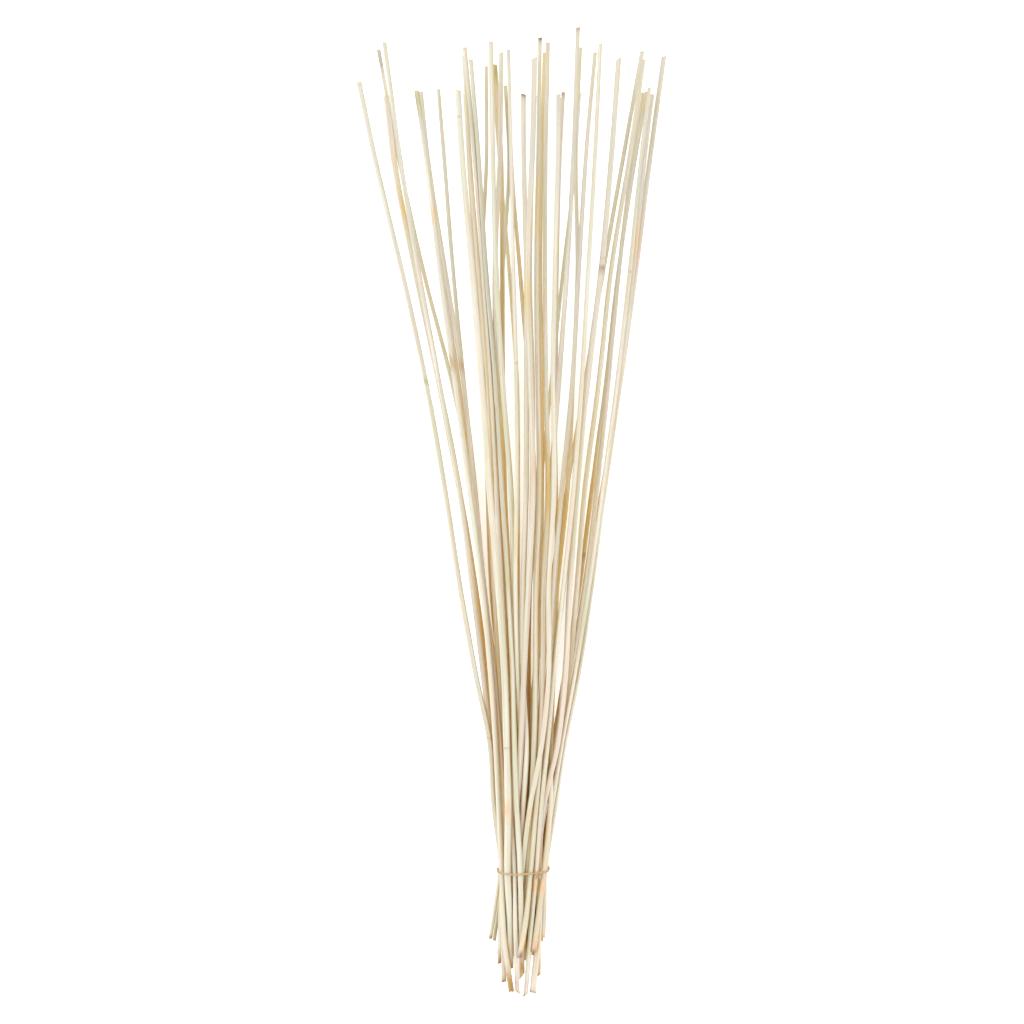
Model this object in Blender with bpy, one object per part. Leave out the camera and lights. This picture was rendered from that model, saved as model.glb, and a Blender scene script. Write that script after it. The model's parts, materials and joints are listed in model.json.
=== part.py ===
"""A bunch of dried, peeled reeds, tied near the butts and lying on its long side.

Metres, +Z up. +Y runs from the butts to the tips, and X runs across the bunch. The origin is on the
surface that the bunch lies on, under the middle of its bounding box.
"""

import math

import bmesh
import bpy
import numpy as np
from mathutils import Matrix, Vector

# Driving dimensions, in metres.
BUNCH_LENGTH = 1.000
EYE_HEIGHT = 2.077
READ_HEIGHT = 0.077
TIE_AXIS_HEIGHT = 0.0275
PIECE_GAP = 0.00035
BAND_WIDTH = 0.0022
BAND_DEPTH = 0.0014
BAND_STAND_OFF = 0.0006
KNOT_SIZE = (0.0064, 0.0058, 0.0034)
KNOT_RISE = 0.0010
TAIL_LENGTH = 0.0050
TAIL_RADIUS = 0.0008

# Readings from a view straight down, in pixels of a picture 1024 pixels on a side.
PICTURE_CENTRE = 512.0
FARTHEST_TIP = 27.0
FARTHEST_BUTT = 998.0
TIE_LEVEL = 870
KNOT_ACROSS = 538.5
KNOT_LEVEL = 874.8
PIXEL = BUNCH_LENGTH / (FARTHEST_BUTT - FARTHEST_TIP)

# Mesh fineness.
REED_SIDES = 8
STATION_LEVELS = (1004, 938, 870, 810, 750, 680, 590, 490, 380, 270, 150, 20)
END_CLEARANCE = 0.012
OUTLINE_STEPS = 72
BAND_SEGMENTS = 48
BAND_SIDES = 6
KNOT_SEGMENTS = 10
KNOT_RINGS = 6
TAIL_SIDES = 6
SHARP_ANGLE = math.radians(60)

# How the cut ends lean, how far each reed's sides are turned from the last one's, and how much of the
# rise towards the tips comes early.
BUTT_CUT = 0.5
BUTT_LEAN = 0.15
TIP_LEAN = -0.1
TURN_STEP = 0.7
EARLY_RISE = 0.25

# How much the band slants, and the knot's two cut ends: the turn of each in degrees from the way to
# the butts, and how far its middle is from the knot's, in metres.
BAND_SKEW = 0.03
TAILS = ((25, 0.0040), (-38, 0.0036))

REED_ROUGHNESS = 0.6
BAND_ROUGHNESS = 0.5

# Settling of the reeds from where they are read to where they have room. HOLD is how strongly each
# point is drawn back across the bunch and in height.
SETTLE_ROUNDS = 900
CLEAR_ROUNDS = 900
HOLD = (0.08, 0.012)
STIFFNESS = 0.25
SQUEEZE = 0.015
PUSH = 0.45
CLEAR_PUSH = 0.8
ROOM_LEFT_OUT = 0.1

TINTS = {
    "ivory": (0.83, 0.77, 0.62),
    "green": (0.74, 0.74, 0.52),
    "pink": (0.80, 0.68, 0.54),
    "straw": (0.76, 0.64, 0.40),
    "golden": (0.52, 0.36, 0.15),
}
BAND_COLOUR = (0.50, 0.33, 0.14)

# Each reed, from left to right at the tips. tip, tie and butt are places in the picture, and way is its
# {level: place across} between them. widths are at the tip and the butt, in pixels. height is at the
# tie, in pixels over the bunch's axis, butt_height is the same at the butt where it differs, and rise is
# how high the tip lies over the surface, in millimetres. cut is the slope of the tip's cut.
REEDS = {
    "reed_a1": dict(
        tip=(359, 82), tie=500.5, butt=(501.5, 965), height=0, rise=34, widths=(5.5, 5.2), cut=0.2,
        way={150: 373, 250: 397, 350: 419.5, 450: 438.5, 550: 454.5, 650: 470.5, 740: 489.5, 800: 493},
        tint="ivory",
    ),
    "reed_a2": dict(
        tip=(378.5, 49.5), tie=507, butt=(506, 950), height=-6, rise=14, widths=(3.8, 5.6), cut=0.1,
        way={150: 397, 250: 418, 350: 444, 450: 467, 600: 486, 740: 500},
        tint="green",
    ),
    "reed_a3": dict(
        tip=(384.5, 42), tie=502, butt=(503, 954), height=-6, butt_height=-3, rise=52,
        widths=(4.5, 6.0), cut=-0.1,
        way={100: 392.5, 200: 406, 300: 424, 400: 442.5, 500: 461, 600: 474, 700: 486, 800: 496.5},
        tint="ivory",
    ),
    "reed_a4": dict(
        tip=(386, 96), tie=504, butt=(503, 940), height=-12, rise=24, widths=(6.0, 6.4), cut=0.3,
        way={150: 392.5, 250: 411, 350: 432, 450: 452, 550: 469.5, 700: 489},
        tint="pink",
    ),
    "reed_b1": dict(
        tip=(416.5, 90), tie=502.6, butt=(512.5, 992), height=7, butt_height=13, rise=66,
        widths=(5.0, 5.4), cut=-0.2,
        way={150: 425.5, 250: 437.5, 350: 451, 450: 464, 550: 478, 650: 488.5, 740: 495.5, 800: 498.5},
        tint="ivory",
    ),
    "reed_b2": dict(
        tip=(421, 91.5), tie=506, butt=(507, 983), height=5, butt_height=3, rise=48, widths=(3.8, 5.0),
        cut=0.1,
        way={150: 427, 250: 442, 350: 459, 450: 471, 550: 480.5, 700: 497},
        tint="pink",
    ),
    "reed_b3": dict(
        tip=(438.5, 89), tie=508, butt=(509.5, 962), height=-1, rise=30, widths=(4.0, 6.0), cut=0.0,
        way={150: 443.5, 250: 451.5, 350: 460, 450: 472, 550: 480, 700: 498},
        tint="green",
    ),
    "reed_c1": dict(
        tip=(458, 89), tie=508.4, butt=(511, 968), height=17, butt_height=2, rise=106,
        widths=(5.5, 7.2), cut=-0.1,
        way={
            200: 465, 300: 475, 400: 483, 500: 490.3, 600: 499.3, 640: 502.5, 700: 505.3, 740: 506.3,
            800: 509.5,
        },
        tint="ivory",
    ),
    "reed_c2": dict(
        tip=(465, 47), tie=514, butt=(518.3, 995), height=15, butt_height=14, rise=78,
        widths=(4.5, 5.0), cut=0.2,
        way={
            120: 472.5, 200: 478, 300: 486, 400: 492.5, 500: 497.8, 600: 502.6, 700: 508, 740: 509.2,
            800: 511.5,
        },
        tint="ivory",
    ),
    "reed_c3": dict(
        tip=(463.5, 55), tie=512, butt=(511, 956), height=-1, rise=58, widths=(3.8, 6.4), cut=0.1,
        way={100: 466, 200: 473, 300: 481, 400: 489, 500: 492, 600: 495, 740: 501},
        tint="straw",
    ),
    "reed_c4": dict(
        tip=(471, 59), tie=521.2, butt=(523.2, 980), height=21, butt_height=8, rise=78,
        widths=(3.8, 5.8), cut=-0.2,
        way={
            100: 474.5, 200: 480.5, 300: 488, 400: 497, 500: 502.5, 600: 509.3, 700: 514.2, 740: 515.8,
            800: 517.7,
        },
        tint="green",
    ),
    "reed_d1": dict(
        tip=(486.5, 66), tie=509, butt=(508, 948), height=-13, rise=40, widths=(4.0, 6.0), cut=0.0,
        way={140: 487, 200: 484.5, 300: 481, 400: 485, 500: 489, 600: 494, 740: 501},
        tint="straw",
    ),
    "reed_d2": dict(
        tip=(490.5, 41), tie=517, butt=(516, 952), height=4, butt_height=-1, rise=104,
        widths=(4.2, 6.4), cut=0.1,
        way={100: 491, 200: 495, 300: 497, 400: 504, 500: 511.5, 600: 515, 740: 518.5},
        tint="green",
    ),
    "reed_d3": dict(
        tip=(495, 64), tie=516, butt=(516, 958), height=-6, rise=62, widths=(5.0, 6.2), cut=-0.1,
        way={100: 497.5, 200: 502.5, 300: 502, 400: 503, 500: 505, 600: 509.7, 740: 513},
        tint="golden",
    ),
    "reed_d4": dict(
        tip=(501.5, 52), tie=520, butt=(523, 955), height=-1, butt_height=-2, rise=86,
        widths=(4.5, 6.2), cut=0.4,
        way={100: 501.5, 150: 500, 200: 497, 300: 494.5, 400: 497, 500: 499, 600: 504.5, 740: 511},
        tint="pink",
    ),
    "reed_d5": dict(
        tip=(508.5, 49), tie=524.5, butt=(520, 948), height=9, butt_height=3, rise=116,
        widths=(3.8, 5.2), cut=0.0,
        way={200: 512, 300: 514, 400: 516.5, 500: 516.7, 600: 516, 640: 517.3, 700: 519.0, 800: 523},
        tint="ivory",
    ),
    "reed_d6": dict(
        tip=(505.5, 85), tie=518, butt=(517, 950), height=-12, rise=38, widths=(3.8, 5.6), cut=0.1,
        way={150: 509, 200: 506, 300: 501.5, 400: 499, 500: 502, 600: 507, 740: 514},
        tint="ivory",
    ),
    "reed_d7": dict(
        tip=(509.5, 96), tie=531, butt=(529, 948), height=-6, rise=44, widths=(3.8, 6.0), cut=0.0,
        way={150: 511, 220: 514, 300: 523, 400: 530, 500: 535.5, 600: 536, 740: 535},
        tint="golden",
    ),
    "reed_e1": dict(
        tip=(523.5, 93), tie=517, butt=(513, 936), height=12, butt_height=3, rise=102,
        widths=(5.0, 5.6), cut=-0.3,
        way={200: 524, 300: 527, 400: 526, 500: 525.8, 600: 522, 650: 520.5, 740: 523, 800: 521},
        tint="ivory",
    ),
    "reed_f1": dict(
        tip=(534.5, 57), tie=512.5, butt=(507.5, 944), height=9, butt_height=1, rise=122,
        widths=(5.0, 6.0), cut=0.5,
        way={
            150: 532.5, 250: 527.5, 350: 529.5, 450: 533, 540: 531.5, 600: 527.8, 640: 525, 700: 524,
            740: 522, 800: 516.8,
        },
        tint="pink",
    ),
    "reed_f2": dict(
        tip=(540, 37), tie=528, butt=(526, 960), height=12, butt_height=5, rise=108, widths=(4.2, 6.4),
        cut=0.0,
        way={100: 539, 200: 538, 300: 536, 400: 538, 500: 539, 560: 536.3, 640: 536, 740: 534.5},
        tint="straw",
    ),
    "reed_f3": dict(
        tip=(544.5, 52), tie=528, butt=(527, 952), height=-1, rise=62, widths=(3.8, 6.0), cut=0.1,
        way={100: 543, 200: 541, 300: 540, 400: 542, 500: 541.5, 600: 539.5, 740: 534},
        tint="golden",
    ),
    "reed_f4": dict(
        tip=(548, 42), tie=529.7, butt=(517.4, 958), height=20, butt_height=24, rise=92,
        widths=(4.2, 5.4), cut=-0.1,
        way={200: 545, 300: 545, 400: 546, 500: 547.5, 600: 543, 700: 542, 740: 540.5, 800: 536.9},
        tint="straw",
    ),
    "reed_g1": dict(
        tip=(558.5, 93), tie=522.3, butt=(516.5, 932), height=15, butt_height=8, rise=118,
        widths=(4.5, 5.8), cut=0.2,
        way={
            200: 557.5, 300: 554, 400: 553, 500: 554, 600: 548.3, 700: 547.4, 740: 543, 770: 537,
            830: 527,
        },
        tint="ivory",
    ),
    "reed_g2": dict(
        tip=(563.5, 92), tie=530, butt=(531, 950), height=3, rise=42, widths=(4.0, 6.2), cut=0.0,
        way={120: 562, 200: 558, 300: 556.5, 400: 555.5, 500: 553, 600: 547, 740: 538},
        tint="pink",
    ),
    "reed_h1": dict(
        tip=(578, 27), tie=524, butt=(521.5, 946), height=-4, rise=104, widths=(4.2, 6.0), cut=0.1,
        way={100: 575.5, 200: 571.5, 300: 565, 400: 557.5, 500: 549.5, 600: 542, 700: 534},
        tint="ivory",
    ),
    "reed_h2": dict(
        tip=(580, 47), tie=529, butt=(526, 948), height=-12, rise=72, widths=(3.8, 6.0), cut=0.0,
        way={100: 577, 150: 576, 250: 578, 300: 576.5, 400: 572, 500: 566.5, 600: 555.5, 740: 542},
        tint="straw",
    ),
    "reed_h3": dict(
        tip=(579.5, 93), tie=500, butt=(490, 939), height=-9, rise=12, widths=(3.6, 3.8), cut=0.0,
        way={150: 576, 300: 560, 500: 539, 700: 518, 800: 507},
        tint="green",
    ),
    "reed_i1": dict(
        tip=(595, 52), tie=534, butt=(531, 950), height=10, butt_height=4, rise=86, widths=(3.8, 6.0),
        cut=-0.1,
        way={100: 590.5, 200: 583, 300: 577, 400: 571, 500: 561, 600: 553, 740: 545},
        tint="ivory",
    ),
    "reed_i2": dict(
        tip=(600.5, 43), tie=536.8, butt=(524.5, 998), height=17, butt_height=16, rise=102,
        widths=(4.2, 5.0), cut=0.2,
        way={
            100: 598, 200: 592.5, 300: 586.5, 400: 580.5, 500: 572.5, 600: 562, 700: 551.5, 740: 548,
            800: 541.5,
        },
        tint="ivory",
    ),
    "reed_j1": dict(
        tip=(619, 58), tie=540, butt=(529.4, 993), height=5, butt_height=9, rise=92, widths=(5.0, 7.0),
        cut=0.6,
        way={
            100: 616, 200: 607.5, 300: 598, 400: 585, 500: 576.5, 550: 572.8, 600: 569, 640: 567,
            700: 563.7, 740: 559, 800: 547.7,
        },
        tint="pink",
    ),
    "reed_k1": dict(
        tip=(642.5, 51), tie=503, butt=(494, 941), height=-16, rise=26, widths=(4.2, 3.8), cut=0.1,
        way={100: 634.5, 200: 615, 300: 598.5, 400: 582, 500: 565, 600: 548, 700: 531, 800: 514.5},
        tint="green",
    ),
    "reed_k2": dict(
        tip=(644, 59), tie=541.5, butt=(532, 950), height=-2, rise=64, widths=(4.5, 5.6), cut=0.0,
        way={
            100: 638.5, 200: 622.5, 300: 607, 400: 597, 500: 583.8, 560: 578.5, 600: 576, 640: 572.3,
            700: 566, 800: 552,
        },
        tint="straw",
    ),
    "reed_k3": dict(
        tip=(643, 92), tie=537, butt=(531, 955), height=-1, rise=40, widths=(4.5, 6.2), cut=0.2,
        way={150: 634, 250: 621, 350: 611.5, 450: 601, 550: 590, 650: 574.5, 740: 557},
        tint="ivory",
    ),
    "reed_k4": dict(
        tip=(649.5, 87), tie=543, butt=(537.5, 978), height=6, butt_height=6, rise=70,
        widths=(3.8, 5.0), cut=0.1,
        way={150: 642, 250: 632, 350: 621, 450: 608, 550: 594, 650: 579, 740: 562, 800: 551.3},
        tint="ivory",
    ),
    "reed_k5": dict(
        tip=(652.5, 94), tie=546.3, butt=(541.5, 942), height=-1, rise=48, widths=(4.5, 4.8), cut=-0.1,
        way={200: 640, 300: 630, 400: 618, 500: 603.5, 600: 590, 700: 574, 740: 565.5, 800: 556},
        tint="ivory",
    ),
    "reed_k6": dict(
        tip=(647, 91.5), tie=539, butt=(537, 950), height=-7, rise=20, widths=(4.0, 6.0), cut=0.0,
        way={150: 637, 200: 628, 300: 615, 400: 604, 500: 590.5, 600: 577.5, 740: 554},
        tint="green",
    ),
    "reed_l1": dict(
        tip=(664, 56), tie=543, butt=(539.5, 938), height=-10, rise=32, widths=(5.0, 6.2), cut=0.3,
        way={100: 658, 200: 644.5, 300: 632, 400: 617.5, 500: 601, 600: 585.5, 740: 561},
        tint="pink",
    ),
    # Reeds low in the bunch, of which only short stretches can be seen.
    "reed_n1": dict(
        tip=(419.5, 95), tie=513, butt=(512, 944), height=-19, rise=1, widths=(3.8, 5.8), cut=0.0,
        way={250: 439.5, 400: 461, 550: 480, 700: 496},
        tint="pink",
    ),
    "reed_n2": dict(
        tip=(465, 94), tie=519, butt=(518, 940), height=-19, rise=1, widths=(4.0, 6.0), cut=0.0,
        way={250: 474, 400: 484, 500: 488, 580: 491, 640: 495.5, 700: 503.5},
        tint="straw",
    ),
    "reed_n3": dict(
        tip=(493, 78), tie=523, butt=(521, 945), height=-13, rise=1, widths=(4.0, 6.0), cut=0.0,
        way={250: 507, 280: 510, 360: 515.5, 420: 518.8, 500: 517.8, 600: 517.5, 700: 518},
        tint="straw",
    ),
    "reed_n4": dict(
        tip=(535, 96), tie=526, butt=(524, 942), height=3, rise=1, widths=(4.2, 6.2), cut=0.0,
        way={250: 530, 400: 533, 550: 531, 640: 528.3, 740: 529.8},
        tint="straw",
    ),
    "reed_n5": dict(
        tip=(560, 98), tie=532, butt=(530, 938), height=-19, rise=1, widths=(4.0, 6.0), cut=0.0,
        way={250: 555.5, 400: 554, 500: 556.5, 600: 556.5, 650: 554.5, 700: 548.5},
        tint="green",
    ),
    "reed_n6": dict(
        tip=(618, 66), tie=542.5, butt=(532.8, 953), height=12, butt_height=20, rise=1,
        widths=(4.2, 5.4), cut=0.0,
        way={250: 603, 400: 586, 550: 568, 640: 557.5, 700: 551.3, 740: 551, 800: 549},
        tint="straw",
    ),
}


def along(level, height):
    """Y of a level in the picture, for a point at this height over the surface."""
    return (PICTURE_CENTRE - level) * PIXEL * (EYE_HEIGHT - height) / (EYE_HEIGHT - READ_HEIGHT)


def across(place, height):
    """X of a place across the picture, for a point at this height over the surface."""
    return (place - PICTURE_CENTRE) * PIXEL * (EYE_HEIGHT - height) / (EYE_HEIGHT - READ_HEIGHT)


def level_of(y, height):
    """The level in the picture at which a point at this Y and height is seen: along() turned round."""
    return PICTURE_CENTRE - y / PIXEL * (EYE_HEIGHT - READ_HEIGHT) / (EYE_HEIGHT - height)


TIE_STATION = STATION_LEVELS.index(TIE_LEVEL)
TIE_Y = along(TIE_LEVEL, TIE_AXIS_HEIGHT)
STATIONS = np.array([along(level, READ_HEIGHT) for level in STATION_LEVELS])
STATIONS[TIE_STATION] = TIE_Y


def smooth_curve(knots_at, knots, at):
    """A cubic through the knots with the slopes of its neighbours, straight beyond both ends."""
    slopes = np.gradient(knots, knots_at)
    inside = np.clip(at, knots_at[0], knots_at[-1])
    k = np.clip(np.searchsorted(knots_at, inside) - 1, 0, len(knots_at) - 2)
    span = knots_at[k + 1] - knots_at[k]
    t = (inside - knots_at[k]) / span
    value = (
        (2 * t**3 - 3 * t**2 + 1) * knots[k]
        + (t**3 - 2 * t**2 + t) * span * slopes[k]
        + (3 * t**2 - 2 * t**3) * knots[k + 1]
        + (t**3 - t**2) * span * slopes[k + 1]
    )
    end_slope = np.where(at < knots_at[0], slopes[0], slopes[-1])
    return value + end_slope * (at - inside)


def read_places(reed, heights):
    """Where the reed is across the picture at every station, given its heights there."""
    marks = {reed["tip"][1]: reed["tip"][0], TIE_LEVEL: reed["tie"], reed["butt"][1]: reed["butt"][0]}
    marks.update(reed["way"])
    levels = np.array(sorted(marks), float)
    places = np.array([marks[level] for level in levels], float)
    return smooth_curve(levels, places, level_of(STATIONS, heights))


def read_heights(reed):
    """The reed's height at every station: straight from butt to tie, then a slow curve to its tip's rise."""
    at_tie = TIE_AXIS_HEIGHT + reed["height"] * PIXEL
    at_butt = TIE_AXIS_HEIGHT + reed.get("butt_height", reed["height"]) * PIXEL
    share = (STATIONS - TIE_Y) / (along(reed["tip"][1], reed["rise"] / 1000) - TIE_Y)
    eased = share * (1 + EARLY_RISE * (1 - share))
    back = (TIE_Y - STATIONS) / (TIE_Y - along(reed["butt"][1], at_butt))
    return np.where(
        share > 0,
        at_tie + (reed["rise"] / 1000 - at_tie) * eased,
        at_tie + (at_butt - at_tie) * back,
    )


def read_radii(reed):
    """The reed's radius at every station, tapering evenly from butt to tip."""
    levels = np.array(STATION_LEVELS, float)
    share = np.clip((reed["butt"][1] - levels) / (reed["butt"][1] - reed["tip"][1]), 0, 1)
    at_tip, at_butt = reed["widths"]
    return (at_butt + (at_tip - at_butt) * share) * PIXEL / 2


def pairs_push(places, radii, pairs, strength):
    """How far each point has to move so that no two reeds overlap, and the deepest overlap now."""
    first, second = pairs
    gap = places[second] - places[first]
    start, end = gap[:, :-1], gap[:, 1:]
    turn = end - start
    t = -(start * turn).sum(-1) / np.maximum((turn * turn).sum(-1), 1e-12)
    t = np.clip(t, 0, 1)[..., None]
    apart = start + turn * t
    distance = np.maximum(np.linalg.norm(apart, axis=-1, keepdims=True), 1e-7)
    both = (radii[first] + radii[second])[..., None]
    needed = both[:, :-1] * (1 - t) + both[:, 1:] * t + PIECE_GAP
    overlap = np.maximum(needed - distance, 0)
    shove = strength * overlap * apart / distance / ((1 - t) ** 2 + t**2)
    moved = np.zeros_like(places)
    touched = np.zeros(places.shape[:2])
    for reed, side in ((first, -0.5), (second, 0.5)):
        np.add.at(moved[:, :-1], reed, side * shove * (1 - t))
        np.add.at(moved[:, 1:], reed, side * shove * t)
        np.add.at(touched[:, :-1], reed, overlap[..., 0] > 0)
        np.add.at(touched[:, 1:], reed, overlap[..., 0] > 0)
    return moved / np.sqrt(np.maximum(touched, 1))[..., None], overlap.max()


def smoothed(shift):
    """A shift of the points spread along each reed, as a stiff stem spreads it."""
    spread = shift.copy()
    spread[:, 1:-1] = (shift[:, :-2] + shift[:, 2:]) / 2
    return shift + STIFFNESS * (spread - shift)


def keep_over_surface(places, radii):
    """Lifts what is under the surface, or under the band where the tie passes below."""
    floor = radii.copy()
    floor[:, TIE_STATION] += BAND_DEPTH + BAND_STAND_OFF
    places[:, :, 1] = np.maximum(places[:, :, 1], floor)


def settle(reeds):
    """(places, radii): X and Z and the radius of every reed at every station, with room between them."""
    wanted_heights = np.array([read_heights(reed) for reed in reeds])
    seen = np.array([read_places(reed, heights) for reed, heights in zip(reeds, wanted_heights)])
    radii = np.array([read_radii(reed) for reed in reeds])
    pairs = np.triu_indices(len(reeds), 1)
    places = np.stack([across(seen, wanted_heights), wanted_heights], -1)
    tie_axis = places[:, TIE_STATION].mean(0)
    for step in range(SETTLE_ROUNDS + CLEAR_ROUNDS):
        settling = step < SETTLE_ROUNDS
        if settling:
            wanted = np.stack([across(seen, places[:, :, 1]), wanted_heights], -1)
            places = wanted + smoothed(places - wanted) * (1 - np.array(HOLD))
            places[:, TIE_STATION] += SQUEEZE * (tie_axis - places[:, TIE_STATION])
        push, deepest = pairs_push(places, radii, pairs, PUSH if settling else CLEAR_PUSH)
        places = places + push
        keep_over_surface(places, radii)
        if not settling and deepest < PIECE_GAP * ROOM_LEFT_OUT:
            break
    return places, radii


def ring(x, y, z, radius, slope_x, slope_z, turn):
    """The points of one cross-section, which leans out of the X-Z plane by the two slopes."""
    points = []
    for k in range(REED_SIDES):
        angle = turn + 2 * math.pi * k / REED_SIDES
        dx = radius * math.cos(angle)
        dz = radius * math.sin(angle)
        points.append((x + dx, y + slope_x * dx + slope_z * dz, z + dz))
    return points


def reed_rings(reed, number, place, radius):
    """The cross-sections of one reed from its cut butt to its cut tip, along its settled centreline."""
    x, z = place.T
    butt_y = along(reed["butt"][1], z[0])
    tip_y = along(reed["tip"][1], z[-1])
    inner = STATIONS[(STATIONS > butt_y + END_CLEARANCE) & (STATIONS < tip_y - END_CLEARANCE)]
    lean = {butt_y: (-BUTT_CUT * reed["cut"], BUTT_LEAN), tip_y: (reed["cut"], TIP_LEAN)}
    rings = []
    for y in (butt_y, *inner, tip_y):
        at = [np.interp(y, STATIONS, line) for line in (x, z, radius)]
        rings.append(ring(at[0], y, at[1], at[2], *lean.get(y, (0, 0)), number * TURN_STEP))
    return rings


def hull(points):
    """The convex outline of points in a plane, anticlockwise."""
    ordered = sorted(map(tuple, points))

    def chain(items):
        line = []
        for x, y in items:
            while len(line) > 1:
                (ax, ay), (bx, by) = line[-2:]
                if (bx - ax) * (y - ay) - (by - ay) * (x - ax) > 0:
                    break
                line.pop()
            line.append((x, y))
        return line[:-1]

    return np.array(chain(ordered) + chain(ordered[::-1]))


def band_route(place, radius):
    """The band's centreline round the reeds at the tie, anticlockwise, and the way out at each point."""
    reach = radius + BAND_STAND_OFF + BAND_DEPTH / 2
    angles = np.linspace(0, 2 * math.pi, OUTLINE_STEPS, endpoint=False)
    circles = np.stack([np.cos(angles), np.sin(angles)], -1)
    outline = hull((place[:, None] + reach[:, None, None] * circles).reshape(-1, 2))
    closed = np.vstack([outline, outline[:1]])
    run = np.concatenate([[0], np.cumsum(np.linalg.norm(np.diff(closed, axis=0), axis=1))])
    steps = np.linspace(0, run[-1], BAND_SEGMENTS, endpoint=False)
    route = np.stack([np.interp(steps, run, closed[:, k]) for k in (0, 1)], -1)
    forward = np.roll(route, -1, axis=0) - np.roll(route, 1, axis=0)
    outward = np.stack([forward[:, 1], -forward[:, 0]], -1)
    return route, outward / np.linalg.norm(outward, axis=1, keepdims=True)


def band_rings(route, outward):
    """The cross-sections of the flat band, on a plane that leans a little along the bunch."""
    rings = []
    for (x, z), (out_x, out_z) in zip(route, outward):
        points = []
        for k in range(BAND_SIDES):
            angle = 2 * math.pi * k / BAND_SIDES
            out = BAND_DEPTH / 2 * math.cos(angle)
            side = BAND_WIDTH / 2 * math.sin(angle)
            points.append((x + out_x * out, TIE_Y + BAND_SKEW * x + side, z + out_z * out))
        rings.append(points)
    return rings


def skinned(rings, is_loop):
    """A closed mesh through the rings, which are joined end to end or capped."""
    made = bmesh.new()
    loops = [[made.verts.new(point) for point in points] for points in rings]
    sides = len(rings[0])
    for lower, upper in zip(loops, loops[1:] + loops[:1] if is_loop else loops[1:]):
        for k in range(sides):
            made.faces.new((lower[k], upper[k], upper[(k + 1) % sides], lower[(k + 1) % sides]))
    if not is_loop:
        made.faces.new(loops[0])
        made.faces.new(reversed(loops[-1]))
    bmesh.ops.recalc_face_normals(made, faces=made.faces)
    return made


def add_object(name, made, surface):
    """An object with this mesh and material, smooth but for its sharp edges."""
    mesh = bpy.data.meshes.new(name)
    made.to_mesh(mesh)
    made.free()
    mesh.materials.append(surface)
    mesh.shade_smooth()
    mesh.set_sharp_from_angle(angle=SHARP_ANGLE)
    piece = bpy.data.objects.new(name, mesh)
    bpy.context.collection.objects.link(piece)
    return piece


def join_to(band, piece):
    """Makes the piece one body with the band."""
    piece.hide_render = True
    piece.display_type = "WIRE"
    join = band.modifiers.new(piece.name, "BOOLEAN")
    join.operation = "UNION"
    join.object = piece


def add_knot(band, route, outward, centre, surface):
    """The band's knot, a flattened lump on its upper right side, and its two cut ends."""
    knot_x = across(KNOT_ACROSS, route[:, 1].max())
    off = np.abs(route[:, 0] - knot_x) + (route[:, 1] < TIE_AXIS_HEIGHT)
    near = int(off.argmin())
    (x, z), (out_x, out_z) = route[near], outward[near]
    y = along(KNOT_LEVEL, z)
    middle = Vector((x + out_x * KNOT_RISE, y, z + out_z * KNOT_RISE)) - Vector(centre)
    tilt = Matrix.Rotation(math.atan2(out_x, out_z), 4, "Y")
    lump = bmesh.new()
    bmesh.ops.create_uvsphere(lump, u_segments=KNOT_SEGMENTS, v_segments=KNOT_RINGS, radius=0.5)
    bmesh.ops.scale(lump, verts=lump.verts, vec=KNOT_SIZE)
    bmesh.ops.transform(lump, verts=lump.verts, matrix=Matrix.Translation(middle) @ tilt)
    join_to(band, add_object("knot_lump", lump, surface))
    for number, (turn, reach) in enumerate(TAILS):
        tail = bmesh.new()
        bmesh.ops.create_cone(
            tail,
            cap_ends=True,
            segments=TAIL_SIDES,
            radius1=TAIL_RADIUS,
            radius2=TAIL_RADIUS,
            depth=TAIL_LENGTH,
        )
        turned = Matrix.Rotation(math.radians(turn), 4, "Z")
        laid = Matrix.Translation((0, -reach, 0)) @ Matrix.Rotation(math.pi / 2, 4, "X")
        matrix = Matrix.Translation(middle) @ tilt @ turned @ laid
        bmesh.ops.transform(tail, verts=tail.verts, matrix=matrix)
        join_to(band, add_object(f"knot_tail_{number}", tail, surface))


def new_material(name, colour, roughness):
    made = bpy.data.materials.new(name)
    made.use_nodes = True
    shader = made.node_tree.nodes["Principled BSDF"]
    shader.inputs["Base Color"].default_value = (*colour, 1)
    shader.inputs["Roughness"].default_value = roughness
    shader.inputs["Metallic"].default_value = 0
    return made


def main():
    for old in list(bpy.data.objects):
        bpy.data.objects.remove(old)
    places, radii = settle(list(REEDS.values()))
    rings = {
        name: reed_rings(reed, number, places[number], radii[number])
        for number, (name, reed) in enumerate(REEDS.items())
    }
    route, outward = band_route(places[:, TIE_STATION], radii[:, TIE_STATION])
    rings["tie_band"] = band_rings(route, outward)
    points = np.array([point for sections in rings.values() for section in sections for point in section])
    lowest, highest = points.min(0), points.max(0)
    centre = (*(lowest + highest)[:2] / 2, lowest[2])
    tints = {name: new_material(name, colour, REED_ROUGHNESS) for name, colour in TINTS.items()}
    cord = new_material("band", BAND_COLOUR, BAND_ROUGHNESS)
    pieces = {}
    for name, sections in rings.items():
        moved = (np.array(sections) - centre).tolist()
        if name == "tie_band":
            pieces[name] = add_object(name, skinned(moved, is_loop=True), cord)
        else:
            tint = tints[REEDS[name]["tint"]]
            pieces[name] = add_object(name, skinned(moved, is_loop=False), tint)
    add_knot(pieces["tie_band"], route, outward, centre, cord)


main()
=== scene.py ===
"""A bunch of dried, peeled reeds, tied near the butts and lying on a pale studio floor.

Each reed's solid gives its line and its thickness. A finer stem is laid along that line, with flats, ribs,
leaf scars and cut ends, and takes the solid's place. The band becomes a cord of two twisted strands.
Lengths are in metres, and a level or a place is in pixels down or across the picture.
"""

import json
import math

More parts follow.
